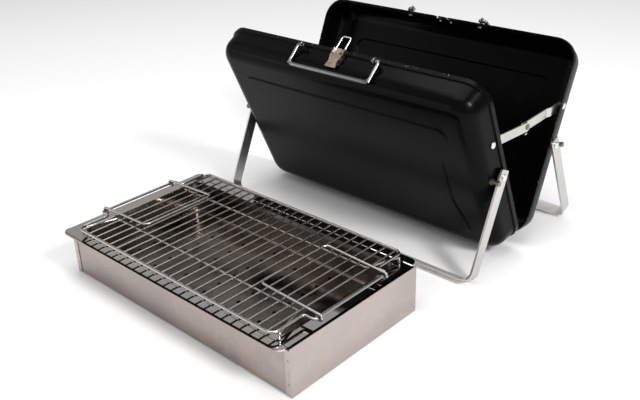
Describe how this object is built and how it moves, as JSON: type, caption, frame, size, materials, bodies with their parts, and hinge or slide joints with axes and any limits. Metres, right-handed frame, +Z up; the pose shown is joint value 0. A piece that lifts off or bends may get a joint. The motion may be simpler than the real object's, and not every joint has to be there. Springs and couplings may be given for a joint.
{
  "type": "folding camp grill",
  "caption": "Fold-up charcoal camp grill: a hinged suitcase standing open on splayed legs, with a loose sheet-steel firebox, charcoal tray and wire grate in front of it.",
  "frame": {"origin": "middle of the firebox's underside, on the ground", "axes": "+Z up, +X along the suitcase's hinge line toward the right end, +Y from the firebox toward the suitcase"},
  "size_m": [0.4418, 0.5705, 0.2745],
  "materials": {
    "case_paint": "satin black stoved paint",
    "leg_bar": "satin mill finish",
    "stay_bar": "bright zinc plate",
    "rivet": "bright zinc plate",
    "stop_bolt": "dull yellow passivated zinc",
    "hinge": "zinc plate",
    "handle_wire": "bright plate",
    "latch": "bronze-tinted zinc plate",
    "latch_wire": "bright plate",
    "firebox": "bright stainless sheet",
    "tray": "mirror-bright stainless sheet",
    "grate_wire": "bright plate"
  },
  "bodies": {
    "front_case": {"front_shell": "case_paint", "front_hinge_leaves": "hinge", "hinge_pins": "hinge", "front_hinge_rivets": "rivet", "front_leg_rivets": "rivet", "front_leg_stops": "stop_bolt", "front_stay_rivets": "rivet", "front_handle_eyes": "handle_wire", "latch_base": "latch", "latch_base_rivets": "rivet", "latch_pin": "rivet"},
    "rear_case": {"rear_shell": "case_paint", "rear_hinge_leaves": "hinge", "rear_hinge_rivets": "rivet", "rear_leg_rivets": "rivet", "rear_leg_stops": "stop_bolt", "rear_stay_rivets": "rivet", "rear_handle_eyes": "handle_wire", "latch_keeper": "latch", "keeper_rivets": "rivet"},
    "front_leg": {"front_leg": "leg_bar"},
    "rear_leg": {"rear_leg": "leg_bar"},
    "front_handle": {"front_handle": "handle_wire"},
    "rear_handle": {"rear_handle": "handle_wire"},
    "latch_lever": {"latch_lever": "latch"},
    "latch_loop": {"latch_loop": "latch_wire"},
    "front_stay_left": {"front_stay_left": "stay_bar", "outer_stay_pin_left": "stop_bolt"},
    "front_stay_right": {"front_stay_right": "stay_bar", "outer_stay_pin_right": "stop_bolt"},
    "rear_stay_left": {"rear_stay_left": "stay_bar", "inner_stay_pin_left": "stop_bolt"},
    "rear_stay_right": {"rear_stay_right": "stay_bar", "inner_stay_pin_right": "stop_bolt"},
    "firebox": {"firebox_trough": "firebox", "firebox_end_left": "firebox", "firebox_end_right": "firebox", "firebox_spot_welds": "firebox"},
    "charcoal_tray": {"charcoal_tray": "tray"},
    "grate": {"grate_frame": "grate_wire", "grate_bars": "grate_wire", "grate_supports": "grate_wire"},
    "grate_handle_left": {"grate_handle_left": "grate_wire"},
    "grate_handle_right": {"grate_handle_right": "grate_wire"}
  },
  "joints": [
    {"name": "case_fold", "type": "hinge", "parent": "front_case", "child": "rear_case", "pos_m": [0, 0.312, 0.0128], "axis": [1, 0, 0], "range_deg": [0, 47]},
    {"name": "front_leg_fold", "type": "hinge", "parent": "front_case", "child": "front_leg", "pos_m": [0, 0.24726, 0.12859], "axis": [1, 0, 0], "range_deg": [0, 48]},
    {"name": "rear_leg_fold", "type": "hinge", "parent": "rear_case", "child": "rear_leg", "pos_m": [0, 0.37674, 0.12859], "axis": [-1, 0, 0], "range_deg": [0, 48]},
    {"name": "front_stay_left_pivot", "type": "hinge", "parent": "front_case", "child": "front_stay_left", "pos_m": [0, 0.22653, 0.17628], "axis": [-1, 0, 0], "range_deg": [0, 55]},
    {"name": "rear_stay_left_pivot", "type": "hinge", "parent": "rear_case", "child": "rear_stay_left", "pos_m": [0, 0.39748, 0.17628], "axis": [1, 0, 0], "range_deg": [0, 55]},
    {"name": "front_stay_right_pivot", "type": "hinge", "parent": "front_case", "child": "front_stay_right", "pos_m": [0, 0.22653, 0.17628], "axis": [-1, 0, 0], "range_deg": [0, 55]},
    {"name": "rear_stay_right_pivot", "type": "hinge", "parent": "rear_case", "child": "rear_stay_right", "pos_m": [0, 0.39748, 0.17628], "axis": [1, 0, 0], "range_deg": [0, 55]},
    {"name": "front_handle_swing", "type": "hinge", "parent": "front_case", "child": "front_handle", "pos_m": [0, 0.19325, 0.25831], "axis": [-1, 0, 0], "range_deg": [0, 116]},
    {"name": "rear_handle_swing", "type": "hinge", "parent": "rear_case", "child": "rear_handle", "pos_m": [0, 0.43075, 0.25831], "axis": [1, 0, 0], "range_deg": [0, 116]},
    {"name": "latch_lever_swing", "type": "hinge", "parent": "front_case", "child": "latch_lever", "pos_m": [0, 0.19832, 0.25921], "axis": [-1, 0, 0], "range_deg": [0, 110]},
    {"name": "latch_loop_swing", "type": "hinge", "parent": "latch_lever", "child": "latch_loop", "pos_m": [0, 0.19414, 0.25684], "axis": [-1, 0, 0], "range_deg": [-92, 0]},
    {"name": "firebox_lift", "type": "slide", "parent": "front_case", "child": "firebox", "axis": [0, 0, 1], "range_m": [0, 0.3]},
    {"name": "tray_lift", "type": "slide", "parent": "firebox", "child": "charcoal_tray", "axis": [0, 0, 1], "range_m": [0, 0.12]},
    {"name": "grate_lift", "type": "slide", "parent": "charcoal_tray", "child": "grate", "axis": [0, 0, 1], "range_m": [0, 0.08]},
    {"name": "grate_handle_right_swing", "type": "hinge", "parent": "grate", "child": "grate_handle_right", "pos_m": [0.188, 0, 0.0702], "axis": [0, 1, 0], "range_deg": [0, 178]},
    {"name": "grate_handle_left_swing", "type": "hinge", "parent": "grate", "child": "grate_handle_left", "pos_m": [-0.191, 0, 0.0702], "axis": [0, -1, 0], "range_deg": [0, 178]}
  ],
  "couplings": [
    {"joint": "front_stay_left_pivot", "follows": "case_fold", "ratio": 1.1691},
    {"joint": "front_stay_right_pivot", "follows": "case_fold", "ratio": 1.1691},
    {"joint": "rear_stay_left_pivot", "follows": "case_fold", "ratio": 1.1691},
    {"joint": "rear_stay_right_pivot", "follows": "case_fold", "ratio": 1.1691},
    {"joint": "latch_loop_swing", "follows": "latch_lever_swing", "ratio": -0.8318}
  ]
}
